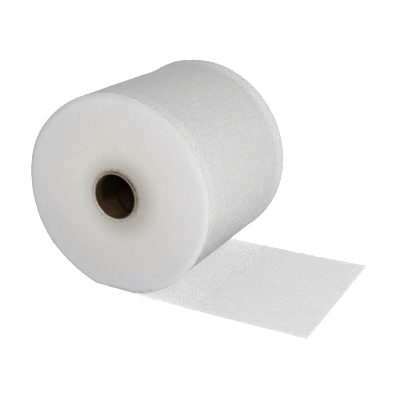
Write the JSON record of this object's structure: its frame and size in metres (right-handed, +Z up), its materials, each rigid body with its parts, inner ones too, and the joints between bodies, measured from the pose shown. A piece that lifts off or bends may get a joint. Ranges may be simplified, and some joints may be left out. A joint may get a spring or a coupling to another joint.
{
  "type": "bubble wrap roll",
  "caption": "Roll of small-bubble cushioning film on a cardboard core, lying on its side with the loose end of the sheet drawn out flat.",
  "frame": {"origin": "centre of the core's bore, half way along it", "axes": "+Y along the core, +X the way the loose sheet lies, +Z up from the surface that the roll rests on"},
  "size_m": [0.5179, 0.3048, 0.3423],
  "materials": {
    "bubble_film": "clear polyethylene film with air bubbles, milky white where many layers lie together",
    "core_board": "plain brown kraft board, spiral wound"
  },
  "bodies": {
    "root": {"bubble_wrap": "bubble_film", "core_tube": "core_board"}
  },
  "joints": []
}
